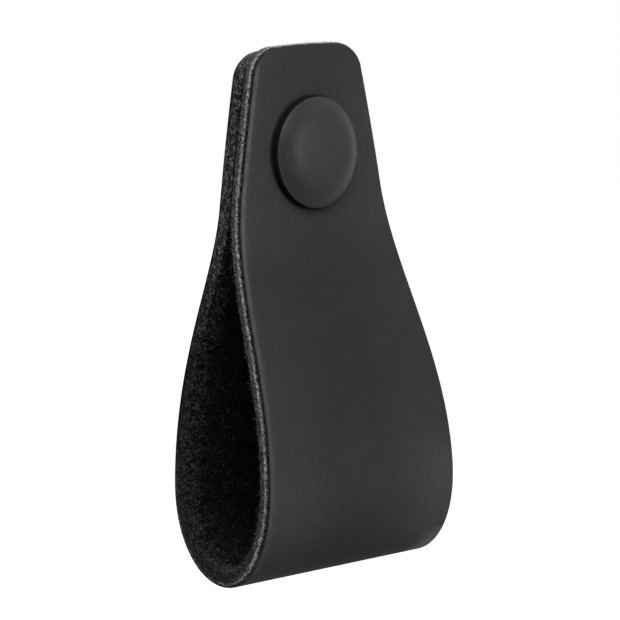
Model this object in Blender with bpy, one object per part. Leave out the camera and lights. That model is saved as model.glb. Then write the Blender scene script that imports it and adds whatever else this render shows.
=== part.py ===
"""Leather knob: a strap folded into a hanging loop, with a round metal button through its two leaves.

The strap is one piece of thick leather. Its two ends lie flat on each other and are clamped between
the button's head and the drawer front by a screw that comes through the front from behind. Below
the clamp the leaves part, swell into a finger loop and meet again at the fold.

The origin is where the screw's axis meets the flat back of the strap. The front looks towards -Y,
+Z is up, and all sizes are in metres.
"""

import math

import bmesh
import bpy
from mathutils import Matrix, Vector

# Strap: heights, measured from the screw's axis and over the whole piece
OVERALL_HEIGHT = 0.0700
TOP_ABOVE_SCREW = 0.0142
BACK_LEAF_SHORTER = 0.00055
BELLY_BELOW_SCREW = 0.0425

# Strap: the leather and the outline that it was cut to
LEATHER_THICKNESS = 0.00205
LEAF_GAP = 0.0003
FOLD_WIDTH = 0.0352
SIDE_RADIUS = 0.338
END_CORNER_RADIUS = 0.0032
END_EDGE_RADIUS = 0.120
GRAIN_EDGE_ROUNDING = 0.0003

# Strap: each leaf's flat stretch below the screw, and how far its outer face swells from the middle
FRONT_FLAT = 0.0049
BACK_FLAT = 0.0064
FRONT_BULGE = 0.0101
BACK_BULGE = 0.0084
FOLD_FORWARD = 0.0011

# Strap: how gently each curve leaves its end, as lengths along the tangent there
FRONT_NECK_EASE = 0.0118
BACK_NECK_EASE = 0.0093
FRONT_BELLY_EASE = 0.0147
BACK_BELLY_EASE = 0.0170
LOWER_BELLY_EASE = 0.0081
FOLD_EASE = 0.0049

# Button: the head in front of the leather, a nearly flat crown with a wide, soft shoulder
HEAD_RADIUS = 0.00735
HEAD_WALL = 0.00070
SHOULDER_RADIUS = 0.0070
SHOULDER_SLOPE = math.radians(38)
CROWN_SLOPE = math.radians(8)
RIM_FILLET = 0.0002
UNDERSIDE_FILLET = 0.0002

# Button: the boss through the leather, and the tapped hole for the screw
BOSS_RADIUS = 0.0032
BOSS_CHAMFER = 0.0003
TAP_RADIUS = 0.00165
TAP_DEPTH = 0.0050
DRILL_POINT_ANGLE = math.radians(118)

# Clearances between the pieces
BOSS_CLEARANCE = 0.0003
HEAD_SEAT_GAP = 0.0003
BOSS_SETBACK = 0.0003

# Faceting
FLAT_STEPS = 4
CURVE_STEPS = 22
CORNER_STEPS = 7
END_EDGE_STEPS = 4
ROUND_SEGMENTS = 72
FILLET_STEPS = 4
SHOULDER_STEPS = 6
CROWN_STEPS = 5

# Places that follow from the sizes above
CLAMPED_THICKNESS = 2 * LEATHER_THICKNESS + LEAF_GAP
MIDDLE_Y = -CLAMPED_THICKNESS / 2
FOLD_Z = TOP_ABOVE_SCREW - OVERALL_HEIGHT
HEAD_SEAT = CLAMPED_THICKNESS + HEAD_SEAT_GAP


def clear_scene():
    """Remove every object that the file holds."""
    for thing in list(bpy.data.objects):
        bpy.data.objects.remove(thing, do_unlink=True)


def make_material(name, color, roughness, metallic):
    """A Principled material with one colour."""
    material = bpy.data.materials.new(name)
    material.use_nodes = True
    shader = material.node_tree.nodes["Principled BSDF"]
    shader.inputs["Base Color"].default_value = (*color, 1.0)
    shader.inputs["Roughness"].default_value = roughness
    shader.inputs["Metallic"].default_value = metallic
    return material


def add_object(name, bm, material=None):
    """Turn a bmesh into a named object in the scene."""
    bmesh.ops.recalc_face_normals(bm, faces=bm.faces)
    mesh = bpy.data.meshes.new(name)
    bm.to_mesh(mesh)
    bm.free()
    thing = bpy.data.objects.new(name, mesh)
    bpy.context.scene.collection.objects.link(thing)
    if material:
        mesh.materials.append(material)
    return thing


def bezier(start, start_handle, end_handle, end, steps):
    """Points on a cubic curve, without its first point."""
    points = []
    for step in range(1, steps + 1):
        t = step / steps
        s = 1 - t
        bend = 3 * s * s * t * start_handle + 3 * s * t * t * end_handle
        points.append(s ** 3 * start + bend + t ** 3 * end)
    return points


def leaf_profile(outward, face_y, top_z, flat, bulge, neck_ease, belly_ease):
    """Outer face of one leaf from the foot of its rounded corners to the fold, as (y, z) vectors.

    outward is the unit vector from the middle of the loop to this leaf.
    """
    down = Vector((0, -1))
    flat_start = Vector((face_y, top_z - END_CORNER_RADIUS))
    flat_end = Vector((face_y, -flat))
    belly = Vector((MIDDLE_Y, -BELLY_BELOW_SCREW)) + bulge * outward
    fold = Vector((MIDDLE_Y - FOLD_FORWARD, FOLD_Z))
    points = [flat_start.lerp(flat_end, step / FLAT_STEPS) for step in range(FLAT_STEPS + 1)]
    points += bezier(flat_end, flat_end + neck_ease * down, belly - belly_ease * down, belly, CURVE_STEPS)
    points += bezier(belly, belly + LOWER_BELLY_EASE * down, fold + FOLD_EASE * outward, fold, CURVE_STEPS)
    return points


def strap_path():
    """The outer face's whole path, front leaf down to the fold and back leaf up, and the fold's index."""
    forward = Vector((-1, 0))
    back_top = TOP_ABOVE_SCREW - BACK_LEAF_SHORTER
    front_eases = (FRONT_NECK_EASE, FRONT_BELLY_EASE)
    back_eases = (BACK_NECK_EASE, BACK_BELLY_EASE)
    front = leaf_profile(forward, -CLAMPED_THICKNESS, TOP_ABOVE_SCREW, FRONT_FLAT, FRONT_BULGE, *front_eases)
    back = leaf_profile(-forward, 0.0, back_top, BACK_FLAT, BACK_BULGE, *back_eases)
    return front + back[-2::-1], len(front) - 1


def inward_normals(path):
    """Unit vectors from each point of the path towards the loop's inside."""
    normals = []
    for index in range(len(path)):
        before = path[max(index - 1, 0)]
        after = path[min(index + 1, len(path) - 1)]
        along = (after - before).normalized()
        normals.append(Vector((-along.y, along.x)))
    for index in range(FLAT_STEPS + 1):
        normals[index] = Vector((1, 0))
        normals[-1 - index] = Vector((-1, 0))
    return normals


def half_width(distance):
    """Half the strap's width at a distance from the fold, measured along the outer face."""
    return FOLD_WIDTH / 2 - (SIDE_RADIUS - math.sqrt(SIDE_RADIUS ** 2 - distance ** 2))


def end_edge_drop(x):
    """How far the slightly arched end edge has fallen at a distance from its middle."""
    return END_EDGE_RADIUS - math.sqrt(END_EDGE_RADIUS ** 2 - x ** 2)


def end_outline(distance):
    """One end's outline from the right side over the arched end to the left side, as (x, rise) pairs."""
    right = []
    for step in range(1, CORNER_STEPS + 1):
        angle = math.pi / 2 * step / CORNER_STEPS
        rise = END_CORNER_RADIUS * math.sin(angle)
        x = half_width(distance + rise) - END_CORNER_RADIUS * (1 - math.cos(angle))
        right.append((x, rise - end_edge_drop(x) * math.sin(angle)))
    corner_end = right[-1][0]
    for step in range(1, END_EDGE_STEPS):
        x = corner_end * (1 - step / END_EDGE_STEPS)
        right.append((x, END_CORNER_RADIUS - end_edge_drop(x)))
    return right + [(0.0, END_CORNER_RADIUS)] + [(-x, rise) for x, rise in reversed(right)]


def add_end(bm, ring, outer, inner, outline):
    """Close the strap past its last row: two flat faces with rounded corners, and the cut between them."""
    grain = [bm.verts.new((x, outer.x, outer.y + rise)) for x, rise in outline]
    flesh = [bm.verts.new((x, inner.x, inner.y + rise)) for x, rise in outline]
    outer_left, outer_right, inner_right, inner_left = ring
    grain = [outer_right] + grain + [outer_left]
    flesh = [inner_right] + flesh + [inner_left]
    bm.faces.new(grain)
    bm.faces.new(flesh)
    for index in range(len(grain) - 1):
        bm.faces.new((grain[index], grain[index + 1], flesh[index + 1], flesh[index]))
    return grain


def make_boss_cutter():
    """The punch that makes the hole through both leaves."""
    reach = 2 * CLAMPED_THICKNESS
    bm = bmesh.new()
    bmesh.ops.create_cone(
        bm,
        cap_ends=True,
        segments=ROUND_SEGMENTS,
        radius1=BOSS_RADIUS + BOSS_CLEARANCE,
        radius2=BOSS_RADIUS + BOSS_CLEARANCE,
        depth=2 * reach,
    )
    bmesh.ops.rotate(bm, verts=bm.verts, matrix=Matrix.Rotation(math.pi / 2, 3, "X"))
    cutter = add_object("boss_hole_cutter", bm)
    cutter.location = (0, MIDDLE_Y, 0)
    cutter.hide_render = True
    cutter.display_type = "WIRE"
    return cutter


def make_strap(material):
    """The leather: one thick strap, folded, with its grain face outside."""
    path, fold_index = strap_path()
    inner_path = [point + LEATHER_THICKNESS * normal for point, normal in zip(path, inward_normals(path))]
    distances = [0.0]
    for before, after in zip(path, path[1:]):
        distances.append(distances[-1] + (after - before).length)
    from_fold = [abs(distance - distances[fold_index]) for distance in distances]

    bm = bmesh.new()
    weight = bm.edges.layers.float.new("bevel_weight_edge")
    rings = []
    for outer, inner, distance in zip(path, inner_path, from_fold):
        half = half_width(distance)
        corners = ((-half, outer), (half, outer), (half, inner), (-half, inner))
        rings.append([bm.verts.new((x, point.x, point.y)) for x, point in corners])
    for ring, following in zip(rings, rings[1:]):
        for corner in range(4):
            other = (corner + 1) % 4
            bm.faces.new((ring[corner], ring[other], following[other], following[corner]))
    outlines = [[ring[0] for ring in rings], [ring[1] for ring in rings]]
    for end in (0, -1):
        outline = end_outline(from_fold[end])
        outlines.append(add_end(bm, rings[end], path[end], inner_path[end], outline))
    for outline in outlines:
        for before, after in zip(outline, outline[1:]):
            bm.edges.get((before, after))[weight] = 1.0
    strap = add_object("strap", bm, material)

    rounding = strap.modifiers.new("grain_edge", "BEVEL")
    rounding.limit_method = "WEIGHT"
    rounding.width = GRAIN_EDGE_ROUNDING
    rounding.segments = 3

    hole = strap.modifiers.new("boss_hole", "BOOLEAN")
    hole.operation = "DIFFERENCE"
    hole.solver = "EXACT"
    hole.object = make_boss_cutter()
    strap.data.shade_smooth()
    strap.data.set_sharp_from_angle(angle=math.radians(35))
    return strap


def arc(center, radius, start, end, steps):
    """Points on an arc as (radius, forward) pairs, with angles measured from the radial direction."""
    points = []
    for step in range(steps + 1):
        angle = start + (end - start) * step / steps
        points.append((center[0] + radius * math.cos(angle), center[1] + radius * math.sin(angle)))
    return points


def button_profile():
    """The turned button's section, from the tip of its blind hole round to the dome's middle.

    Each point is (radius from the axis, distance forward of the strap's back face).
    """
    hole_end = BOSS_SETBACK + TAP_DEPTH
    hole_tip = hole_end + TAP_RADIUS / math.tan(DRILL_POINT_ANGLE / 2)
    points = [(0.0, hole_tip), (TAP_RADIUS, hole_end), (TAP_RADIUS, BOSS_SETBACK)]
    points += [(BOSS_RADIUS - BOSS_CHAMFER, BOSS_SETBACK), (BOSS_RADIUS, BOSS_SETBACK + BOSS_CHAMFER)]
    points.append((BOSS_RADIUS, HEAD_SEAT))

    underside_center = (HEAD_RADIUS - UNDERSIDE_FILLET, HEAD_SEAT + UNDERSIDE_FILLET)
    points += arc(underside_center, UNDERSIDE_FILLET, -math.pi / 2, 0.0, FILLET_STEPS)

    shoulder_start = math.pi / 2 - SHOULDER_SLOPE
    shoulder_end = math.pi / 2 - CROWN_SLOPE
    rim_center = (HEAD_RADIUS - RIM_FILLET, HEAD_SEAT + HEAD_WALL)
    points += arc(rim_center, RIM_FILLET, 0.0, shoulder_start, FILLET_STEPS)
    radius, forward = points[-1]
    along, up = math.cos(shoulder_start), math.sin(shoulder_start)
    shoulder_center = (radius - SHOULDER_RADIUS * along, forward - SHOULDER_RADIUS * up)
    points += arc(shoulder_center, SHOULDER_RADIUS, shoulder_start, shoulder_end, SHOULDER_STEPS)[1:]
    radius, forward = points[-1]
    crown_radius = radius / math.cos(shoulder_end)
    crown_center = (0.0, forward - crown_radius * math.sin(shoulder_end))
    points += arc(crown_center, crown_radius, shoulder_end, math.pi / 2, CROWN_STEPS)[1:-1]
    points.append((0.0, crown_center[1] + crown_radius))
    return points


def make_button(material):
    """The metal button: one turned piece with a low dome, a boss and a blind tapped hole."""
    profile = button_profile()
    bm = bmesh.new()
    rings = []
    for radius, forward in profile[1:-1]:
        ring = []
        for segment in range(ROUND_SEGMENTS):
            angle = 2 * math.pi * segment / ROUND_SEGMENTS
            ring.append(bm.verts.new((radius * math.cos(angle), -forward, radius * math.sin(angle))))
        rings.append(ring)
    for ring, following in zip(rings, rings[1:]):
        for segment in range(ROUND_SEGMENTS):
            other = (segment + 1) % ROUND_SEGMENTS
            bm.faces.new((ring[segment], ring[other], following[other], following[segment]))
    for (_, forward), ring in ((profile[0], rings[0]), (profile[-1], rings[-1])):
        pole = bm.verts.new((0.0, -forward, 0.0))
        for segment in range(ROUND_SEGMENTS):
            bm.faces.new((ring[segment], ring[(segment + 1) % ROUND_SEGMENTS], pole))
    button = add_object("button", bm, material)
    button.data.shade_smooth()
    button.data.set_sharp_from_angle(angle=math.radians(35))
    return button


def main():
    """Build the knob."""
    clear_scene()
    leather = make_material("black_leather", (0.040, 0.040, 0.041), 0.62, 0.0)
    lacquer = make_material("matt_black_lacquer", (0.030, 0.030, 0.032), 0.48, 0.0)
    make_strap(leather)
    make_button(lacquer)


main()
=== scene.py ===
"""Looks of the leather knob: the bent strap with its cut edges and fibres, the turned button, and a studio.

All lengths are in metres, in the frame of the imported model: the front looks towards -Y and +Z is up. The
strap is drawn as a flat blank and then bent. A place on the blank is (u, s, depth): across the strap, along
it from the fold with the front leaf negative, and below the grain.
"""

import math

import bpy
import numpy as np
from mathutils import Matrix, Vector, noise
from mathutils.kdtree import KDTree


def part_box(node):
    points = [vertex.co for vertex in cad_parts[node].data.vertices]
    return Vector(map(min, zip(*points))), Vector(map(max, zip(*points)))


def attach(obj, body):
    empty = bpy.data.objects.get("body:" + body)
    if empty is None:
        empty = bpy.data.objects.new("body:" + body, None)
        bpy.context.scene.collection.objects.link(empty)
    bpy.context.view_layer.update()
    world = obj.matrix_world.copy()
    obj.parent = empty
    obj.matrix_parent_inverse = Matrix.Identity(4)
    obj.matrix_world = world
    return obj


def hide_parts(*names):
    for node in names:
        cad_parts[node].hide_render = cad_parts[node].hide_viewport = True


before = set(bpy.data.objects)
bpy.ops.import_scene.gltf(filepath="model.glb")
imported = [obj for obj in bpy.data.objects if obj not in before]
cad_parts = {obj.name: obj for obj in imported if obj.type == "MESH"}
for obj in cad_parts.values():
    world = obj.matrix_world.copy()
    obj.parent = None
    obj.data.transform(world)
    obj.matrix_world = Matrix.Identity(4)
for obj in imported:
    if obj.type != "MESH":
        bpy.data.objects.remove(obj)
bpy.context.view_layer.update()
STRAP_LOW, STRAP_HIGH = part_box("strap")
BUTTON_LOW, BUTTON_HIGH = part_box("button")
BODY = "root"
MM = 0.001
MICRON = 1e-6

# Strap: what the frame gives
TOP_Z = STRAP_HIGH.z
FOLD_Z = STRAP_LOW.z
FRONT_BELLY_Y = STRAP_LOW.y
BACK_BELLY_Y = STRAP_HIGH.y
GRAIN_HALF_WIDTH = STRAP_HIGH.x

# Strap: the sizes that the solid was drawn with
LEATHER = 2.05 * MM
LEAF_GAP = 0.3 * MM
BACK_LEAF_SHORTER = 0.55 * MM
BELLY_BELOW_SCREW = 42.5 * MM
SIDE_RADIUS = 338 * MM
END_CORNER_RADIUS = 3.2 * MM
END_EDGE_RADIUS = 120 * MM
FRONT_FLAT = 4.9 * MM
BACK_FLAT = 6.4 * MM
FOLD_FORWARD = 1.1 * MM
FRONT_NECK_EASE = 11.8 * MM
BACK_NECK_EASE = 9.3 * MM
FRONT_BELLY_EASE = 14.7 * MM
BACK_BELLY_EASE = 17.0 * MM
LOWER_BELLY_EASE = 8.1 * MM
FOLD_EASE = 4.9 * MM
CLAMPED = 2 * LEATHER + LEAF_GAP
MIDDLE_Y = -CLAMPED / 2

# Strap: the cut edge, by depth below the grain
GRAIN_ROUNDING = 0.30 * MM
FLESH_ROUNDING = 0.14 * MM
CUT_FLARE = 0.06 * MM
GROOVE_DEPTH = 0.46 * MM
GROOVE_SINK = 0.05 * MM
GROOVE_SPREAD = 0.09 * MM
RIDGE_DEPTH = 0.98 * MM
RIDGE_HEIGHT = 0.09 * MM
RIDGE_SPREAD = 0.14 * MM

# Strap: the nap on the flesh side
NAP_FEATURE = 0.9 * MM
NAP_HEIGHT = 0.04 * MM

# Strap: how finely it is meshed
ROW_STEP = 0.17 * MM
CORNER_ROWS = 18
COLUMNS = 17
COLUMN_CROWDING = 0.86
GRAIN_TURN_STEPS = 5
CUT_LEVELS = 24
FLESH_TURN_STEPS = 3
CURVE_SAMPLES = 400
HOLE_SIDES = 96

# Strap: its finishes, in the order of its material slots, and the attribute that holds places on the blank
GRAIN, CUT, FLESH = range(3)
FLAT_PLACE = "flat_place"

# Fibres
CUT_FIBRES = 8500
RIDGE_FIBRES = 6000
FLESH_FIBRES = 5500
FIBRE_SIDES = 3
FIBRE_SEGMENTS = 3
FIBRE_TAPER = 0.6
CUT_ROOT_DEPTH = 0.02 * MM
FLESH_ROOT_DEPTH = 0.03 * MM
NAP_FROM_ENDS = 18 * MM

# Button
HEAD_RADIUS = BUTTON_HIGH.x
BOSS_END = -BUTTON_HIGH.y
HEAD_SEAT = CLAMPED + 0.3 * MM
HEAD_WALL = 0.70 * MM
SHOULDER_RADIUS = 7.0 * MM
SHOULDER_SLOPE = math.radians(38)
CROWN_SLOPE = math.radians(8)
RIM_FILLET = 0.2 * MM
UNDERSIDE_FILLET = 0.2 * MM
BOSS_RADIUS = 3.2 * MM
BOSS_CHAMFER = 0.3 * MM
BOSS_HOLE_RADIUS = BOSS_RADIUS + 0.3 * MM
TAP_RADIUS = 1.65 * MM
TAP_DEPTH = 5.0 * MM
THREAD_PITCH = 0.7 * MM
THREAD_DEPTH = 0.35 * MM
THREAD_RUNOUT = 0.8 * THREAD_PITCH
DRILL_POINT = math.radians(118)

# Button: how finely it is meshed
BUTTON_SIDES = 192
ROWS_PER_PITCH = 10
UNDERSIDE_STEPS = 5
WALL_STEPS = 4
FILLET_STEPS = 8
SHOULDER_STEPS = 24
CROWN_STEPS = 30
SHARP_ANGLE = math.radians(40)

# Camera, found from the strap's outline in the photograph
IMAGE_SIZE = 620
AZIMUTH = math.radians(-44.48)
ELEVATION = math.radians(6.52)
ROLL = math.radians(1.86)
DISTANCE = 500 * MM
FOCAL_PIXELS = 3764.8
AIM_UP = -21.16 * MM
AIM_RIGHT = 2.14 * MM
SENSOR_MM = 36.0
NEAREST, FARTHEST = 0.01, 50

# Studio
FLOOR_BELOW_FOLD = 600 * MM
FLOOR_REACH = 6.0
FILL_LIGHT = 0.05
LIGHT_DISTANCE = 0.60


def link(thing):
    """Put an object into the scene."""
    bpy.context.scene.collection.objects.link(thing)
    return thing


def mesh_object(name, points, faces, smooth=True):
    """An object from points and faces."""
    mesh = bpy.data.meshes.new(name)
    mesh.from_pydata([tuple(p) for p in points], [], faces)
    mesh.validate()
    if smooth:
        mesh.shade_smooth()
    return link(bpy.data.objects.new(name, mesh))


def band_faces(upper, lower):
    """Faces between two closed rings of point numbers."""
    around = len(upper)
    faces = []
    for i in range(around):
        j = (i + 1) % around
        faces.append((int(upper[j]), int(upper[i]), int(lower[i]), int(lower[j])))
    return faces


# The strap's path


def bezier(start, start_handle, end_handle, end):
    """Points on a cubic curve as an array, both ends included."""
    t = np.linspace(0, 1, CURVE_SAMPLES)[:, None]
    s = 1 - t
    return s ** 3 * start + 3 * s * s * t * start_handle + 3 * s * t * t * end_handle + t ** 3 * end


def leaf_path(side, face_y, top_z, flat_below, belly_y, neck_ease, belly_ease):
    """Outer face of one leaf from its top edge to the fold, as (y, z) points."""
    down = np.array((0.0, -1.0))
    outward = np.array((float(side), 0.0))
    top = np.array((face_y, top_z))
    flat_end = np.array((face_y, -flat_below))
    belly = np.array((belly_y, -BELLY_BELOW_SCREW))
    fold = np.array((MIDDLE_Y - FOLD_FORWARD, FOLD_Z))
    flat = np.linspace(top, flat_end, CURVE_SAMPLES)
    neck = bezier(flat_end, flat_end + neck_ease * down, belly - belly_ease * down, belly)
    lower = bezier(belly, belly + LOWER_BELLY_EASE * down, fold + FOLD_EASE * outward, fold)
    return np.vstack([flat, neck[1:], lower[1:]])


class Path:
    """The bent strap's outer face: arc length from the fold, negative on the front leaf."""

    def __init__(self):
        front_eases = (FRONT_NECK_EASE, FRONT_BELLY_EASE)
        back_eases = (BACK_NECK_EASE, BACK_BELLY_EASE)
        back_top = TOP_Z - BACK_LEAF_SHORTER
        front = leaf_path(-1, -CLAMPED, TOP_Z, FRONT_FLAT, FRONT_BELLY_Y, *front_eases)
        back = leaf_path(1, 0.0, back_top, BACK_FLAT, BACK_BELLY_Y, *back_eases)
        points = np.vstack([front, back[-2::-1]])
        lengths = np.r_[0, np.cumsum(np.linalg.norm(np.diff(points, axis=0), axis=1))]
        self.s = lengths - lengths[len(front) - 1]
        along = np.gradient(points, self.s, axis=0)
        along /= np.linalg.norm(along, axis=1)[:, None]
        self.points = points
        self.along = along
        self.front_end = self.s[0]
        self.back_end = self.s[-1]

    def place(self, u, s, depth):
        """World points for places on the flat blank."""
        s = np.asarray(s, float)
        inside = np.clip(s, self.front_end, self.back_end)
        y = np.interp(inside, self.s, self.points[:, 0])
        z = np.interp(inside, self.s, self.points[:, 1])
        ty = np.interp(inside, self.s, self.along[:, 0])
        tz = np.interp(inside, self.s, self.along[:, 1])
        beyond = s - inside
        return np.stack([u, y + beyond * ty - depth * tz, z + beyond * tz + depth * ty], -1)


PATH = Path()


# The flat blank


def half_width(s):
    """Half the grain face's width at a distance from the fold."""
    return GRAIN_HALF_WIDTH - (SIDE_RADIUS - np.sqrt(SIDE_RADIUS ** 2 - np.square(s)))


def end_edge_drop(u):
    """How far the slightly arched end edge has fallen at a distance from its middle."""
    return END_EDGE_RADIUS - math.sqrt(END_EDGE_RADIUS ** 2 - u ** 2)


def cut_offset(depth):
    """How far the cut edge stands outside the grain's outline at each depth."""
    depth = np.asarray(depth, float)
    near_grain = np.clip(depth / GRAIN_ROUNDING, 0, 1)
    rounding = GRAIN_ROUNDING * (np.sqrt(1 - (1 - near_grain) ** 2) - 1)
    near_flesh = np.clip((LEATHER - depth) / FLESH_ROUNDING, 0, 1)
    shrink = FLESH_ROUNDING * (np.sqrt(1 - (1 - near_flesh) ** 2) - 1)
    flare = CUT_FLARE * depth / LEATHER
    groove = GROOVE_SINK * np.exp(-(((depth - GROOVE_DEPTH) / GROOVE_SPREAD) ** 2))
    ridge = RIDGE_HEIGHT * np.exp(-(((depth - RIDGE_DEPTH) / RIDGE_SPREAD) ** 2))
    return rounding + shrink + flare - groove + ridge


def corner_rows(end, sign):
    """Outline rows from the side round an end's corner; sign is the end's direction along s."""
    foot = end - sign * END_CORNER_RADIUS
    rows = []
    for step in range(1, CORNER_ROWS + 1):
        angle = math.pi / 2 * step / CORNER_ROWS
        s = foot + sign * END_CORNER_RADIUS * math.sin(angle)
        half = float(half_width(s)) - END_CORNER_RADIUS * (1 - math.cos(angle))
        s -= sign * end_edge_drop(half) * math.sin(angle)
        rows.append((s, half, math.cos(angle), sign * math.sin(angle)))
    return rows


def outline_rows():
    """The right side of the flat blank, front end to back end: (s, half width, outward u, outward s)."""
    front_foot = PATH.front_end + END_CORNER_RADIUS
    back_foot = PATH.back_end - END_CORNER_RADIUS
    count = round((back_foot - front_foot) / ROW_STEP)
    middle = [(s, float(half_width(s)), 1.0, 0.0) for s in np.linspace(front_foot, back_foot, count)]
    return np.array(corner_rows(PATH.front_end, -1)[::-1] + middle + corner_rows(PATH.back_end, 1))


class Blank:
    """The flat blank as a grid of rows and columns, with its outline as a loop through the grid."""

    def __init__(self):
        rows = outline_rows()
        self.count = len(rows)
        self.size = self.count * COLUMNS
        spread = np.sin(np.linspace(-1, 1, COLUMNS) * math.pi / 2 * COLUMN_CROWDING)
        spread /= spread[-1]
        s, half, out_u, out_s = rows.T[:, :, None]
        self.s = s * np.ones(COLUMNS)
        self.u = half * spread
        self.out_u = out_u * spread
        self.out_s = out_s * np.ones(COLUMNS)
        for row, end, sign in ((0, PATH.front_end, -1), (-1, PATH.back_end, 1)):
            for column in range(1, COLUMNS - 1):
                self.s[row, column] = end - sign * end_edge_drop(self.u[row, column])
        self.loop_r, self.loop_c = self.outline_loop()
        self.run = self.outline_run()

    def outline_loop(self):
        """Row and column numbers of the grid's rim, in order round the blank."""
        last_row = self.count - 1
        last_column = COLUMNS - 1
        loop = [(0, c) for c in range(COLUMNS)]
        loop += [(r, last_column) for r in range(1, self.count)]
        loop += [(last_row, c) for c in range(last_column - 1, -1, -1)]
        loop += [(r, 0) for r in range(last_row - 1, 0, -1)]
        return np.array(loop).T

    def outline_run(self):
        """Distance round the outline at each of its points, and back at the first."""
        u, s = self.rim(self.u), self.rim(self.s)
        steps = np.hypot(np.diff(u, append=u[0]), np.diff(s, append=s[0]))
        return np.r_[0, np.cumsum(steps)]

    def rim(self, grid):
        """A grid's values along the outline."""
        return grid[self.loop_r, self.loop_c]

    def random_place(self, random, depth):
        """A point on the cut edge at a random place, with its outward and inward directions."""
        start = np.searchsorted(self.run, random.uniform(0, self.run[-1]), side="right") - 1
        r, c = self.loop_r[start], self.loop_c[start]
        u, s, out_u, out_s = self.u[r, c], self.s[r, c], self.out_u[r, c], self.out_s[r, c]
        slide = random.uniform(0, self.run[start + 1] - self.run[start])
        u, s = u - slide * out_s, s + slide * out_u
        offset = float(cut_offset(depth))
        further = offset + MM
        here = PATH.place(u + offset * out_u, s + offset * out_s, depth)
        out = PATH.place(u + further * out_u, s + further * out_s, depth) - here
        down = PATH.place(u + offset * out_u, s + offset * out_s, depth + MM) - here
        return here, out / MM, down / MM

    def face(self, offset):
        """The grid with its rim moved outwards by an offset, and its inside stretched to follow."""
        return (self.u + offset * self.out_u).ravel(), (self.s + offset * self.out_s).ravel()


BLANK = Blank()


# The strap's mesh


def rough(points, scale, seed):
    """Smooth noise from -1 to 1 at each point, at a feature size in metres."""
    shift = Vector((seed * 7.1, seed * 3.7, seed * 5.3))
    return np.array([noise.noise(Vector(p) / scale + shift) for p in points])


def cut_depths():
    """Depths of the rings down the cut: close together at both roundings, and even between them."""
    grain_turn = np.linspace(0, math.pi / 2, GRAIN_TURN_STEPS + 1)[1:]
    flesh_turn = np.linspace(0, math.pi / 2, FLESH_TURN_STEPS + 1)[1:-1]
    depths = list(GRAIN_ROUNDING * (1 - np.cos(grain_turn)))
    depths += list(np.linspace(GRAIN_ROUNDING, LEATHER - FLESH_ROUNDING, CUT_LEVELS)[1:])
    return depths + list(LEATHER - FLESH_ROUNDING * (1 - np.sin(flesh_turn)))


def cut_ring(depth):
    """One ring round the cut edge, rougher towards the flesh side: its bent points and its flat places."""
    base_u, base_s = BLANK.rim(BLANK.u), BLANK.rim(BLANK.s)
    out_u, out_s = BLANK.rim(BLANK.out_u), BLANK.rim(BLANK.out_s)
    level = np.full(len(base_u), depth)
    offset = float(cut_offset(depth))
    even = PATH.place(base_u + offset * out_u, base_s + offset * out_s, level)
    share = min(max((depth - GRAIN_ROUNDING) / (LEATHER - GRAIN_ROUNDING), 0), 1)
    swell = 0.05 * MM * share * rough(even, 0.9 * MM, 5)
    tufts = (0.05 + 0.07 * share) * MM * rough(even, 0.30 * MM, 6) * min(share * 8, 1)
    sway = share ** 2 * (0.10 * MM * rough(even, 0.8 * MM, 7) + 0.09 * MM * rough(even, 0.3 * MM, 8))
    out = offset + swell + tufts
    bent = PATH.place(base_u + out * out_u, base_s + out * out_s, depth + sway)
    return bent, np.stack([base_u, base_s, level], -1)


def strap_points(depths):
    """Points of the grain face, the flesh side and the rings at some depths, and their flat places."""
    surface = np.zeros(BLANK.size)
    bottom = np.full(BLANK.size, LEATHER)
    grain = PATH.place(*BLANK.face(float(cut_offset(0.0))), surface)
    flesh_u, flesh_s = BLANK.face(float(cut_offset(LEATHER)))
    nap = rough(PATH.place(flesh_u, flesh_s, bottom), NAP_FEATURE, 2) * NAP_HEIGHT
    flesh = PATH.place(flesh_u, flesh_s, LEATHER + nap)
    rings = [cut_ring(depth) for depth in depths]
    u, s = BLANK.u.ravel(), BLANK.s.ravel()
    grain_flat = np.stack([u, s, surface], -1)
    flesh_flat = np.stack([u, s, bottom], -1)
    points = np.vstack([grain, flesh] + [bent for bent, _ in rings])
    flat = np.vstack([grain_flat, flesh_flat] + [place for _, place in rings])
    return points, flat


def grid_faces(base):
    """Faces over the blank's grid, whose points are numbered from base."""
    faces = []
    for r in range(BLANK.count - 1):
        for c in range(COLUMNS - 1):
            a = base + r * COLUMNS + c
            faces.append((a, a + 1, a + COLUMNS + 1, a + COLUMNS))
    return faces


def strap_faces(depths):
    """Faces between the strap's points, and the finish of each."""
    grain = grid_faces(0)
    flesh = [face[::-1] for face in grid_faces(BLANK.size)]
    faces = grain + flesh
    finishes = [GRAIN] * len(grain) + [FLESH] * len(flesh)
    rim = BLANK.loop_r * COLUMNS + BLANK.loop_c
    around = len(rim)
    rings = [2 * BLANK.size + k * around + np.arange(around) for k in range(len(depths))]
    rings = [rim] + rings + [BLANK.size + rim]
    levels = [0.0] + depths + [LEATHER]
    for k in range(len(rings) - 1):
        band = band_faces(rings[k], rings[k + 1])
        middle = (levels[k] + levels[k + 1]) / 2
        faces += band
        finishes += [GRAIN if middle < 0.75 * GRAIN_ROUNDING else CUT] * len(band)
    return faces, finishes


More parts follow.
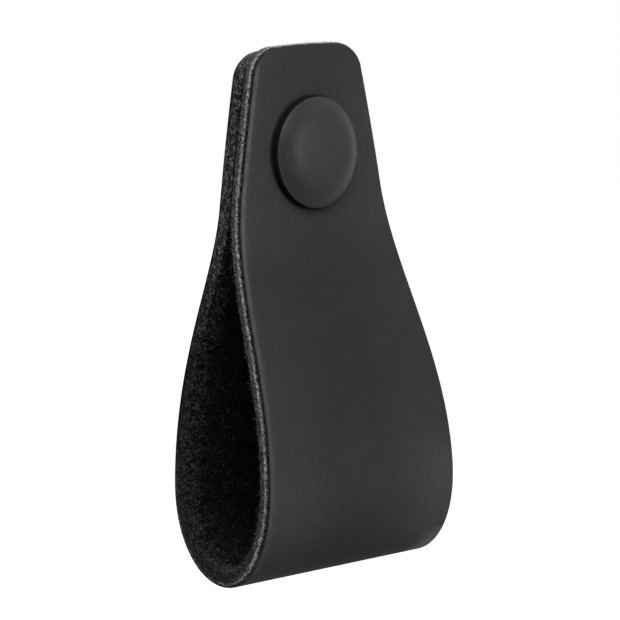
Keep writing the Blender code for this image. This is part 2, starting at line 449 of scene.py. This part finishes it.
def punch_hole(strap):
    """Punch the boss's hole through both leaves, with the cut edge's finish on its wall."""
    angle = np.linspace(0, 2 * math.pi, HOLE_SIDES, endpoint=False)
    circle = np.stack([np.cos(angle), np.sin(angle)], -1) * BOSS_HOLE_RADIUS
    points = [(x, y, z) for y in (-3 * CLAMPED, 2 * CLAMPED) for x, z in circle]
    front, back = range(HOLE_SIDES), range(HOLE_SIDES, 2 * HOLE_SIDES)
    punch = mesh_object("boss_punch", points, band_faces(front, back) + [tuple(front), tuple(back)[::-1]])
    punch.data.materials.append(strap.data.materials[CUT])
    hole = strap.modifiers.new("boss_hole", "BOOLEAN")
    hole.operation = "DIFFERENCE"
    hole.solver = "EXACT"
    hole.object = punch
    with bpy.context.temp_override(object=strap, active_object=strap):
        bpy.ops.object.modifier_apply(modifier=hole.name)
    bpy.data.objects.remove(punch, do_unlink=True)


def store_flat_places(mesh, points, flat):
    """Give each vertex its place on the flat blank, from the nearest point that the blank was bent to."""
    tree = KDTree(len(points))
    for index, point in enumerate(points):
        tree.insert(point, index)
    tree.balance()
    nearest = [tree.find(vertex.co)[1] for vertex in mesh.vertices]
    place = mesh.attributes.new(FLAT_PLACE, "FLOAT_VECTOR", "POINT")
    place.data.foreach_set("vector", flat[nearest].astype(np.float32).ravel())


def make_strap(materials):
    """The strap as one closed mesh, with the grain, the cut edge and the flesh side as three finishes."""
    depths = cut_depths()
    points, flat = strap_points(depths)
    faces, finishes = strap_faces(depths)
    strap = mesh_object("strap_leather", points, faces)
    mesh = strap.data
    for material in materials:
        mesh.materials.append(material)
    mesh.polygons.foreach_set("material_index", np.array(finishes, np.int32))
    punch_hole(strap)
    store_flat_places(mesh, points, flat)
    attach(strap, BODY)
    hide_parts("strap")
    return strap


# Fibres


class FibreBrush:
    """Collects thin curved fibres as closed tubes in one mesh."""

    def __init__(self, seed):
        self.random = np.random.default_rng(seed)
        self.points = []
        self.faces = []

    def add(self, root, heading, up, length, radius, curl):
        """One fibre from root along heading, bending towards up by curl."""
        heading = heading / np.linalg.norm(heading)
        side = np.cross(heading, up)
        side /= np.linalg.norm(side) + 1e-12
        lift = np.cross(side, heading)
        base = len(self.points)
        for step in range(FIBRE_SEGMENTS + 1):
            t = step / FIBRE_SEGMENTS
            centre = root + heading * length * t + lift * length * curl * t * t
            thick = radius * (1 - FIBRE_TAPER * t)
            for corner in range(FIBRE_SIDES):
                angle = 2 * math.pi * corner / FIBRE_SIDES
                self.points.append(centre + thick * (math.cos(angle) * side + math.sin(angle) * lift))
        for step in range(FIBRE_SEGMENTS):
            for corner in range(FIBRE_SIDES):
                a = base + step * FIBRE_SIDES + corner
                b = base + step * FIBRE_SIDES + (corner + 1) % FIBRE_SIDES
                self.faces.append((a, b, b + FIBRE_SIDES, a + FIBRE_SIDES))
        tip = base + FIBRE_SEGMENTS * FIBRE_SIDES
        self.faces.append(tuple(base + corner for corner in range(FIBRE_SIDES))[::-1])
        self.faces.append(tuple(tip + corner for corner in range(FIBRE_SIDES)))

    def finish(self, name, material):
        """The fibres as one piece that rides with the strap."""
        fibres = mesh_object(name, self.points, self.faces)
        fibres.data.materials.append(material)
        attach(fibres, BODY)
        return fibres


def make_cut_fibres(material):
    """Fuzz on the cut edges, from the ridge to the flesh side."""
    brush = FibreBrush(seed=11)
    random = brush.random
    for _ in range(CUT_FIBRES):
        depth = random.uniform(RIDGE_DEPTH, LEATHER)
        here, out, down = BLANK.random_place(random, depth)
        run = np.cross(out, down)
        heading = 0.5 * out * random.random() + run * random.normal(0, 1) + down * random.normal(0.1, 0.5)
        length = random.uniform(0.15, 0.50) * MM
        radius = random.uniform(9, 18) * MICRON
        brush.add(here - CUT_ROOT_DEPTH * out, heading, out, length, radius, random.normal(0.1, 0.3))
    return brush.finish("cut_edge_fibres", material)


def make_ridge_fibres(material):
    """Pale fibres raised along the ridge of the front leaf's cut edge and over both ends."""
    brush = FibreBrush(seed=13)
    random = brush.random
    missing = RIDGE_FIBRES
    while missing > 0:
        depth = random.normal(RIDGE_DEPTH, 0.09 * MM)
        here, out, down = BLANK.random_place(random, depth)
        round_fold = here[2] < FOLD_Z + 8 * MM
        down_back = here[1] > MIDDLE_Y and here[2] < TOP_Z - 2 * MM
        if round_fold or down_back:
            continue
        missing -= 1
        run = np.cross(out, down)
        heading = 0.4 * out * random.random() + run * random.choice((-1, 1)) + down * random.normal(0, 0.35)
        length = random.uniform(0.12, 0.40) * MM
        radius = random.uniform(8, 16) * MICRON
        brush.add(here - CUT_ROOT_DEPTH * out, heading, out, length, radius, random.normal(0.1, 0.3))
    return brush.finish("ridge_fibres", material)


def make_flesh_fibres(material):
    """Curly nap on the flesh side, denser close to the strap's edges and round the fold."""
    brush = FibreBrush(seed=12)
    random = brush.random
    start = PATH.front_end + NAP_FROM_ENDS
    stop = PATH.back_end - NAP_FROM_ENDS
    across = np.array((1.0, 0.0, 0.0))
    for _ in range(FLESH_FIBRES):
        s = random.normal(4 * MM, 14 * MM) if random.random() < 0.25 else random.uniform(start, stop)
        s = min(max(s, start), stop)
        half = float(half_width(s))
        near_edge = random.random() < 0.8
        u = half - abs(random.normal(0, 1.6 * MM)) if near_edge else random.uniform(0, half)
        u *= random.choice((-1.0, 1.0))
        here = PATH.place(u, s, LEATHER)
        down = (PATH.place(u, s, LEATHER + MM) - here) / MM
        along = (PATH.place(u, s + 0.1 * MM, LEATHER) - here) / (0.1 * MM)
        heading = along * random.normal() + across * random.normal() + down * random.uniform(0.1, 0.9)
        length = random.uniform(0.30, 0.85) * MM
        radius = random.uniform(15, 30) * MICRON
        bend = np.cross(heading, down) * random.choice((-1.0, 1.0)) + 0.3 * down
        root = here - FLESH_ROOT_DEPTH * down
        brush.add(root, heading, bend, length, radius, random.uniform(0.2, 0.9))
    return brush.finish("flesh_side_fibres", material)


# The button


def arc(center, radius, start, end, steps):
    """Points on an arc as (radius, forward) pairs."""
    turn = np.linspace(start, end, steps + 1)
    return [(center[0] + radius * math.cos(a), center[1] + radius * math.sin(a)) for a in turn]


def boss_profile():
    """From the boss's chamfered end up to the head's seat and out under the head."""
    points = [(BOSS_RADIUS - BOSS_CHAMFER, BOSS_END)]
    points += [(BOSS_RADIUS, BOSS_END + BOSS_CHAMFER), (BOSS_RADIUS, HEAD_SEAT)]
    under_head = np.linspace(BOSS_RADIUS, HEAD_RADIUS - UNDERSIDE_FILLET, UNDERSIDE_STEPS + 1)[1:-1]
    return points + [(r, HEAD_SEAT) for r in under_head]


def head_profile():
    """From the head's underside round its wall, shoulder and crown, and how far forward its middle is."""
    wall_foot = HEAD_SEAT + UNDERSIDE_FILLET
    wall_top = HEAD_SEAT + HEAD_WALL
    shoulder_start = math.pi / 2 - SHOULDER_SLOPE
    shoulder_end = math.pi / 2 - CROWN_SLOPE
    underside_center = (HEAD_RADIUS - UNDERSIDE_FILLET, wall_foot)
    points = arc(underside_center, UNDERSIDE_FILLET, -math.pi / 2, 0, FILLET_STEPS)
    points += [(HEAD_RADIUS, f) for f in np.linspace(wall_foot, wall_top, WALL_STEPS + 1)[1:-1]]
    points += arc((HEAD_RADIUS - RIM_FILLET, wall_top), RIM_FILLET, 0.0, shoulder_start, FILLET_STEPS)
    radius, forward = points[-1]
    inward = SHOULDER_RADIUS * math.cos(shoulder_start)
    shoulder_center = (radius - inward, forward - SHOULDER_RADIUS * math.sin(shoulder_start))
    points += arc(shoulder_center, SHOULDER_RADIUS, shoulder_start, shoulder_end, SHOULDER_STEPS)[1:]
    radius, forward = points[-1]
    crown_radius = radius / math.cos(shoulder_end)
    crown_center = (0.0, forward - crown_radius * math.sin(shoulder_end))
    points += arc(crown_center, crown_radius, shoulder_end, math.pi / 2, CROWN_STEPS)[1:-1]
    return points, crown_center[1] + crown_radius


def thread_rings(angle):
    """Rings from the tapped hole's bottom to its mouth, as radii by angle and a place forward.

    The thread's crests and roots are flat, and it runs out at the bottom.
    """
    bottom = BOSS_END + TAP_DEPTH
    count = round(TAP_DEPTH / (THREAD_PITCH / ROWS_PER_PITCH))
    rings = []
    for forward in np.linspace(bottom, BOSS_END, count):
        turn = (forward / THREAD_PITCH + angle / (2 * math.pi)) % 1.0
        tooth = np.clip(1.5 - 3 * np.abs(turn - 0.5), 0, 1)
        runout = min((bottom - forward) / THREAD_RUNOUT, 1.0)
        rings.append((TAP_RADIUS + THREAD_DEPTH * (1 - tooth) * runout, forward))
    return rings


def make_button(material):
    """The button as one closed mesh: domed head, boss, and a blind hole with a real M4 thread."""
    around = np.arange(BUTTON_SIDES)
    angle = 2 * math.pi * around / BUTTON_SIDES
    head, dome = head_profile()
    rings = thread_rings(angle) + boss_profile() + head
    points = []
    for radius, forward in rings:
        places = (radius * np.cos(angle), np.full(BUTTON_SIDES, -forward), radius * np.sin(angle))
        points += list(np.stack(places, -1))
    drill_tip = BOSS_END + TAP_DEPTH + TAP_RADIUS / math.tan(DRILL_POINT / 2)
    points += [(0, -drill_tip, 0), (0, -dome, 0)]
    faces = []
    for k in range(len(rings) - 1):
        faces += band_faces(k * BUTTON_SIDES + around, (k + 1) * BUTTON_SIDES + around)
    last = (len(rings) - 1) * BUTTON_SIDES
    for i in range(BUTTON_SIDES):
        j = (i + 1) % BUTTON_SIDES
        faces.append((len(points) - 2, i, j))
        faces.append((len(points) - 1, last + j, last + i))
    button = mesh_object("button_metal", points, faces)
    button.data.set_sharp_from_angle(angle=SHARP_ANGLE)
    button.data.materials.append(material)
    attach(button, BODY)
    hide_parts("button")
    return button


# Materials


class Nodes:
    """A short way to write a material's node tree."""

    def __init__(self, name):
        self.material = bpy.data.materials.new(name)
        self.material.use_nodes = True
        self.tree = self.material.node_tree
        self.shader = self.tree.nodes["Principled BSDF"]

    def add(self, kind, inputs=None, **settings):
        """A node with some inputs set or linked, and its own settings."""
        node = self.tree.nodes.new(kind)
        for key, value in settings.items():
            setattr(node, key, value)
        for key, value in (inputs or {}).items():
            self.set(node, key, value)
        return node

    def set(self, node, key, value):
        """Set an input to a number or a colour, or link it to a socket."""
        if isinstance(value, bpy.types.NodeSocket):
            self.tree.links.new(value, node.inputs[key])
        else:
            node.inputs[key].default_value = value

    def surface(self, colour, roughness, specular, normal=None):
        """Give the shader its values, and return the finished material."""
        self.set(self.shader, "Base Color", colour)
        self.set(self.shader, "Roughness", roughness)
        self.set(self.shader, "Specular IOR Level", specular)
        if normal:
            self.set(self.shader, "Normal", normal)
        return self.material

    def flat_place(self):
        """The place on the flat blank: across in X, along from the fold in Y, below the grain in Z."""
        return self.add("ShaderNodeAttribute", attribute_name=FLAT_PLACE).outputs["Vector"]

    def split(self, vector):
        """A vector's three parts, by the names X, Y and Z."""
        return self.add("ShaderNodeSeparateXYZ", {"Vector": vector}).outputs

    def stretch(self, vector, factors):
        """A vector with its parts multiplied."""
        return self.add("ShaderNodeMapping", {"Vector": vector, "Scale": factors}).outputs["Vector"]

    def place(self):
        """Object coordinates."""
        return self.add("ShaderNodeTexCoord").outputs["Object"]

    def noise(self, size, detail=3.0, roughness=0.5, vector=None):
        """Noise from 0 to 1 with features of a size in metres."""
        inputs = {"Vector": vector or self.place(), "Scale": 1 / size}
        inputs.update({"Detail": detail, "Roughness": roughness})
        return self.add("ShaderNodeTexNoise", inputs).outputs["Fac"]

    def cells(self, size):
        """Distance from the nearest middle in a cell pattern, with cells of a size in metres."""
        inputs = {"Vector": self.place(), "Scale": 1 / size}
        return self.add("ShaderNodeTexVoronoi", inputs).outputs["Distance"]

    def math(self, operation, a, b=0.0):
        """One sum of two values."""
        return self.add("ShaderNodeMath", {0: a, 1: b}, operation=operation).outputs["Value"]

    def product(self, first, *others):
        """Several values multiplied."""
        for other in others:
            first = self.math("MULTIPLY", first, other)
        return first

    def span(self, value, low, high, to_low=0.0, to_high=1.0):
        """A value's range mapped to another, and held at its ends."""
        inputs = {"Value": value, "From Min": low, "From Max": high, "To Min": to_low, "To Max": to_high}
        return self.add("ShaderNodeMapRange", inputs).outputs["Result"]

    def window(self, value, rise, fall):
        """1 between a rising and a falling ramp, each given by its start and end, and 0 outside them."""
        return self.product(self.span(value, *rise), self.span(value, *fall, 1.0, 0.0))

    def ramp(self, value, stops):
        """A brightness read off (position, brightness) stops."""
        node = self.add("ShaderNodeValToRGB", {"Fac": value})
        elements = node.color_ramp.elements
        while len(elements) < len(stops):
            elements.new(0.5)
        for element, (position, level) in zip(elements, stops):
            element.position = position
            element.color = (level, level, level, 1.0)
        return node.outputs["Color"]

    def mix(self, factor, a, b):
        """A mix of two colours."""
        return self.add("ShaderNodeMix", {0: factor, 6: a, 7: b}, data_type="RGBA").outputs[2]

    def grey(self, value, tint=(1.0, 1.0, 1.0)):
        """A colour from a brightness."""
        parts = zip(("Red", "Green", "Blue"), tint)
        inputs = {name: self.math("MULTIPLY", value, part) for name, part in parts}
        return self.add("ShaderNodeCombineColor", inputs).outputs["Color"]

    def bump(self, height, depth, below=None):
        """A bump of a real depth in metres, on top of another one."""
        inputs = {"Height": height, "Strength": 1.0, "Distance": depth}
        if below:
            inputs["Normal"] = below
        return self.add("ShaderNodeBump", inputs).outputs["Normal"]

    def inside_edge(self, parts):
        """How far a place on the flat blank lies inside its curved side, in metres."""
        reach = self.math("SUBTRACT", SIDE_RADIUS ** 2, self.product(parts["Y"], parts["Y"]))
        half = self.math("ADD", self.math("SQRT", reach), GRAIN_HALF_WIDTH - SIDE_RADIUS)
        return self.math("SUBTRACT", half, self.math("ABSOLUTE", parts["X"]))

    def from_screw(self):
        """Distance from the screw's axis, in metres."""
        parts = self.split(self.place())
        across, up = parts["X"], parts["Z"]
        return self.math("SQRT", self.math("ADD", self.product(across, across), self.product(up, up)))


def painted_left_highlight(n, parts, inside):
    """Painted highlight along the grain's left edge: patchy on its rounding, and fainter just inside it."""
    at_left = n.span(parts["X"], -5 * MM, -6 * MM)
    patchy = n.span(n.noise(1.5 * MM, 2.0), 0.3, 0.7, 0.5, 1.3)
    above_fold = n.span(parts["Y"], -45 * MM, -8 * MM, 1.0, 0.15)
    # painted highlight on the left edge's rounding, fading out towards the fold
    painted_light = n.product(n.span(inside, 0.08 * MM, 0.44 * MM, 1.0, 0.0), at_left, patchy, above_fold)
    painted_highlight_tail = n.product(n.span(inside, 0.4 * MM, 1.4 * MM, 0.14, 0.0), at_left)
    return n.math("ADD", n.math("ADD", painted_light, painted_highlight_tail), 1.0)


def painted_neck_shade(n, parts):
    """Painted shade along the front leaf: darker from the neck down to the belly."""
    at_neck = n.window(parts["Y"], (-54 * MM, -46 * MM), (-30 * MM, -17 * MM))
    return n.span(at_neck, 0.0, 1.0, 1.0, 0.79)


def painted_low_right_light(n, parts):
    """Painted light on the front leaf's lower right, which is paler there."""
    to_right = n.span(parts["X"], 2 * MM, 15 * MM)
    above_fold = n.window(parts["Y"], (-24 * MM, -10 * MM), (-8 * MM, -3 * MM))
    return n.span(n.product(to_right, above_fold), 0.0, 1.0, 1.0, 1.40)


def painted_corner_glint(n, parts, inside, streak):
    """Painted highlight on the fold's right corner, pale in streaks."""
    near_edge = n.span(inside, 0.2 * MM, 4.5 * MM, 1.0, 0.0)
    at_right = n.span(parts["X"], 5 * MM, 6 * MM)
    near_fold = n.window(parts["Y"], (-8.5 * MM, -2.5 * MM), (-2 * MM, -0.8 * MM))
    streaky = n.span(streak, 0.35, 0.65, 0.3, 1.2)
    return n.span(n.product(near_edge, at_right, near_fold, streaky), 0.0, 1.0, 1.0, 5.6)


def painted_button_shadow(n, parts):
    """Painted shadow on the front leaf round the button: darker just outside the button's rim."""
    ring = n.span(n.from_screw(), HEAD_RADIUS + 0.05 * MM, HEAD_RADIUS + 0.55 * MM, 0.35, 1.0)
    return n.span(parts["Y"], -30 * MM, -20 * MM, ring, 1.0)


def grain_material():
    """The smooth outside of the leather: near black with pores and faint streaks, with painted light and
    shade.
    """
    n = Nodes("black_grain_leather")
    base = 0.0335
    parts = n.split(n.flat_place())
    inside = n.inside_edge(parts)
    streak = n.noise(0.5 * MM, 3.0, 0.6, n.stretch(n.place(), (1.0, 1.0, 0.22)))
    # painted sheen: the grain paler towards both sides
    painted_sheen = n.span(n.math("ABSOLUTE", parts["X"]), 4 * MM, 14 * MM, 1.0, 1.22)
    # painted light on the lower right and a painted highlight on the fold's right corner
    painted_light = n.product(painted_low_right_light(n, parts), painted_corner_glint(n, parts, inside, streak))
    # all the painted sheen and highlights on the grain together
    painted_edge_light = n.product(painted_sheen, painted_left_highlight(n, parts, inside), painted_light)
    # painted shade on the neck and a painted shadow round the button
    painted_shade = n.product(painted_neck_shade(n, parts), painted_button_shadow(n, parts))
    tone = n.span(n.noise(9 * MM, 2.0), 0.3, 0.7, 0.95, 1.05)
    fine = n.span(n.noise(0.35 * MM, 4.0, 0.6), 0.25, 0.75, 0.86, 1.14)
    faint = n.span(streak, 0.3, 0.7, 0.93, 1.07)
    level = n.product(painted_edge_light, painted_shade, tone, fine, faint, base)
    pores = n.span(n.cells(0.33 * MM), 0.0, 0.35)
    relief = n.bump(n.noise(0.16 * MM, 3.0, 0.6), 0.006 * MM)
    relief = n.bump(pores, 0.006 * MM, relief)
    relief = n.bump(streak, 0.012 * MM, relief)
    return n.surface(n.grey(level), roughness=0.60, specular=0.005, normal=relief)


def cut_material():
    """The cut edge: dark near the grain, then a ragged ridge, pale on the front leaf, then a mottled nap."""
    n = Nodes("cut_leather_edge")
    stops = (
        (0.00, 0.035), (0.13, 0.018), (0.20, 0.020), (0.30, 0.070), (0.38, 0.270),
        (0.45, 0.460), (0.51, 0.260), (0.60, 0.095), (0.75, 0.075), (1.00, 0.055),
    )
    place = n.flat_place()
    parts = n.split(place)
    sway = n.math("MULTIPLY", n.math("SUBTRACT", n.noise(0.9 * MM, 2.0, 0.6, place), 0.5), 0.35 * MM)
    fray = n.math("MULTIPLY", n.math("SUBTRACT", n.noise(0.16 * MM, 2.0, 0.7, place), 0.5), 0.25 * MM)
    towards_grain = n.span(parts["Y"], -11 * MM, 0.0, -0.10 * MM, 0.45 * MM)
    depth = n.math("ADD", n.math("ADD", parts["Z"], towards_grain), n.math("ADD", sway, fray))
    ridge = n.ramp(n.span(depth, 0.0, LEATHER), stops)
    pressed = n.span(parts["Z"], 0.15 * MM, 0.50 * MM, 0.016, 0.070)
    on_back = n.span(parts["Y"], 4 * MM, 25 * MM)
    line = n.mix(on_back, ridge, n.grey(pressed))
    along = n.stretch(place, (1.0, 0.55, 1.0))
    speckle = n.span(n.noise(0.22 * MM, 2.0, 0.8, along), 0.41, 0.62, 0.06, 2.2)
    clumps = n.span(n.noise(0.8 * MM, 2.0, 0.6, along), 0.3, 0.7, 0.7, 1.3)
    flecks = n.span(n.noise(0.40 * MM, 2.0, 0.7, along), 0.45, 0.62, 0.40, 1.8)
    flecked = n.span(on_back, 0.0, 1.0, 1.0, flecks)
    front = n.span(parts["Y"], -12 * MM, 2 * MM, 1.05, 0.28)
    back = n.span(parts["Y"], 35 * MM, 50 * MM, 0.0, 0.62)
    level = n.product(line, speckle, clumps, flecked, n.math("ADD", front, back))
    relief = n.bump(n.noise(0.2 * MM, 3.0, 0.7, place), 0.12 * MM)
    return n.surface(n.grey(level), roughness=0.9, specular=0.05, normal=relief)


def flesh_material():
    """The inside of the strap: a matt, nearly black nap in curls, paler at the edges and the fold."""
    n = Nodes("black_flesh_side")
    base = 0.0105
    place = n.flat_place()
    parts = n.split(place)
    to_edge = n.span(n.inside_edge(parts), 0.0, 2.5 * MM, 1.1, 1.0)
    round_fold = n.span(n.math("ABSOLUTE", parts["Y"]), 4 * MM, 12 * MM, 1.3, 1.0)
    curls = n.span(n.noise(0.36 * MM, 3.0, 0.75, place), 0.46, 0.66, 0.35, 2.3)
    clumps = n.span(n.noise(1.6 * MM, 3.0, 0.6, place), 0.3, 0.7, 0.5, 1.5)
    level = n.product(to_edge, round_fold, curls, clumps, base)
    relief = n.bump(n.noise(0.3 * MM, 4.0, 0.7, place), 0.20 * MM)
    return n.surface(n.grey(level), roughness=0.95, specular=0.03, normal=relief)


def fibre_material(name, dark, pale):
    """Loose fibres, each patch a little paler or darker."""
    n = Nodes(name)
    level = n.span(n.noise(0.25 * MM, 1.0), 0.35, 0.65, dark, pale)
    return n.surface(n.grey(level), roughness=0.8, specular=0.15)


def button_material():
    """Matt black lacquer on metal, faintly wrinkled; a painted glint on its rim and painted shade on its
    wall.
    """
    n = Nodes("matt_black_lacquer")
    base = 0.0185
    # painted blue cast of the highlight, put into the base colour
    painted_blue_cast = (0.995, 0.985, 1.04)
    tone = n.span(n.noise(1.2 * MM, 3.0), 0.3, 0.7, 0.94, 1.06)
    radius = n.from_screw()
    # painted glint: the rim's fillet paler than the rest of the head
    rim = n.span(radius, HEAD_RADIUS - 0.30 * MM, HEAD_RADIUS - 0.10 * MM, 1.0, 1.5)
    # painted shade: the head's wall darker
    wall = n.span(radius, HEAD_RADIUS - 0.03 * MM, HEAD_RADIUS - 0.01 * MM, 1.0, 0.3)
    level = n.product(tone, rim, wall, base)
    relief = n.bump(n.noise(0.45 * MM, 2.0, 0.6), 0.050 * MM)
    relief = n.bump(n.noise(1.3 * MM, 2.0, 0.5), 0.030 * MM, relief)
    return n.surface(n.grey(level, painted_blue_cast), roughness=0.37, specular=0.13, normal=relief)


# The studio


def seen_directly(nodes, links):
    """A value that is 1 for rays that show the background itself: camera, glossy and transmission rays."""
    path = nodes.new("ShaderNodeLightPath")
    value = path.outputs["Is Camera Ray"]
    for name in ("Is Glossy Ray", "Is Transmission Ray"):
        larger = nodes.new("ShaderNodeMath")
        larger.operation = "MAXIMUM"
        links.new(value, larger.inputs[0])
        links.new(path.outputs[name], larger.inputs[1])
        value = larger.outputs["Value"]
    return value


def make_world():
    """White to look at, and a soft grey fill for the light that falls on the object."""
    world = bpy.data.worlds.new("studio")
    bpy.context.scene.world = world
    world.use_nodes = True
    nodes, links = world.node_tree.nodes, world.node_tree.links
    background = nodes["Background"]
    background.inputs["Color"].default_value = (1, 1, 1, 1)
    strength = nodes.new("ShaderNodeMapRange")
    strength.inputs["To Min"].default_value = FILL_LIGHT
    strength.inputs["To Max"].default_value = 1.0
    links.new(seen_directly(nodes, links), strength.inputs["Value"])
    links.new(strength.outputs["Result"], background.inputs["Strength"])


def make_floor():
    """A pale floor, well below the hanging knob, that shows as white."""
    z = FOLD_Z - FLOOR_BELOW_FOLD
    corners = [(x * FLOOR_REACH, y * FLOOR_REACH, z) for x, y in ((-1, -1), (1, -1), (1, 1), (-1, 1))]
    floor = mesh_object("floor", corners, [(0, 1, 2, 3)], smooth=False)
    n = Nodes("pale_floor")
    n.set(n.shader, "Base Color", (0.8, 0.8, 0.8, 1.0))
    n.set(n.shader, "Roughness", 0.9)
    n.set(n.shader, "Emission Color", (1.0, 1.0, 1.0, 1.0))
    n.set(n.shader, "Emission Strength", seen_directly(n.tree.nodes, n.tree.links))
    floor.data.materials.append(n.material)


def make_light(name, azimuth, elevation, size, power):
    """A soft box that points at the knob's middle; azimuth 0 is in front, positive to the right."""
    centre = Vector((0, MIDDLE_Y, (TOP_Z + FOLD_Z) / 2))
    turn, lift = math.radians(azimuth), math.radians(elevation)
    away = Vector((math.sin(turn) * math.cos(lift), -math.cos(turn) * math.cos(lift), math.sin(lift)))
    data = bpy.data.lights.new(name, "AREA")
    data.shape = "RECTANGLE"
    data.size, data.size_y = size
    data.energy = power
    lamp = link(bpy.data.objects.new(name, data))
    lamp.location = centre + LIGHT_DISTANCE * away
    lamp.rotation_mode = "QUATERNION"
    lamp.rotation_quaternion = (-away).to_track_quat("-Z", "Y")


def make_camera():
    """The camera at the photograph's place."""
    level = math.cos(ELEVATION)
    back = Vector((math.sin(AZIMUTH) * level, -math.cos(AZIMUTH) * level, math.sin(ELEVATION)))
    right = Vector((math.cos(AZIMUTH), math.sin(AZIMUTH), 0))
    up = back.cross(right)
    place = AIM_UP * up + AIM_RIGHT * right + DISTANCE * back
    turned_right = math.cos(ROLL) * right - math.sin(ROLL) * up
    turned_up = math.sin(ROLL) * right + math.cos(ROLL) * up
    data = bpy.data.cameras.new("camera")
    data.sensor_width = SENSOR_MM
    data.lens = FOCAL_PIXELS / IMAGE_SIZE * SENSOR_MM
    data.clip_start, data.clip_end = NEAREST, FARTHEST
    camera = link(bpy.data.objects.new("camera", data))
    axes = Matrix((turned_right, turned_up, back)).transposed().to_4x4()
    camera.matrix_world = Matrix.Translation(place) @ axes
    bpy.context.scene.camera = camera


def make_studio():
    """Floor, world, soft boxes and colour settings."""
    make_floor()
    make_world()
    make_light("high_left", azimuth=-30, elevation=45, size=(0.35, 0.35), power=2.7)
    make_light("front_right", azimuth=16, elevation=4, size=(0.30, 0.36), power=1.85)
    make_light("high_right", azimuth=45, elevation=45, size=(0.35, 0.35), power=0.5)
    make_light("side_right", azimuth=45, elevation=10, size=(0.25, 0.50), power=0.2)
    make_light("side_left", azimuth=-80, elevation=15, size=(0.35, 0.35), power=0.4)
    make_light("high_back", azimuth=172, elevation=32, size=(0.35, 0.35), power=2.6)
    bpy.context.scene.view_settings.view_transform = "Standard"


def main():
    """Build the looks around the frame."""
    make_camera()
    make_studio()
    make_strap([grain_material(), cut_material(), flesh_material()])
    make_cut_fibres(fibre_material("cut_edge_fibres", dark=0.015, pale=0.20))
    make_ridge_fibres(fibre_material("ridge_fibres", dark=0.12, pale=0.45))
    make_flesh_fibres(fibre_material("flesh_side_fibres", dark=0.003, pale=0.24))
    make_button(button_material())


main()
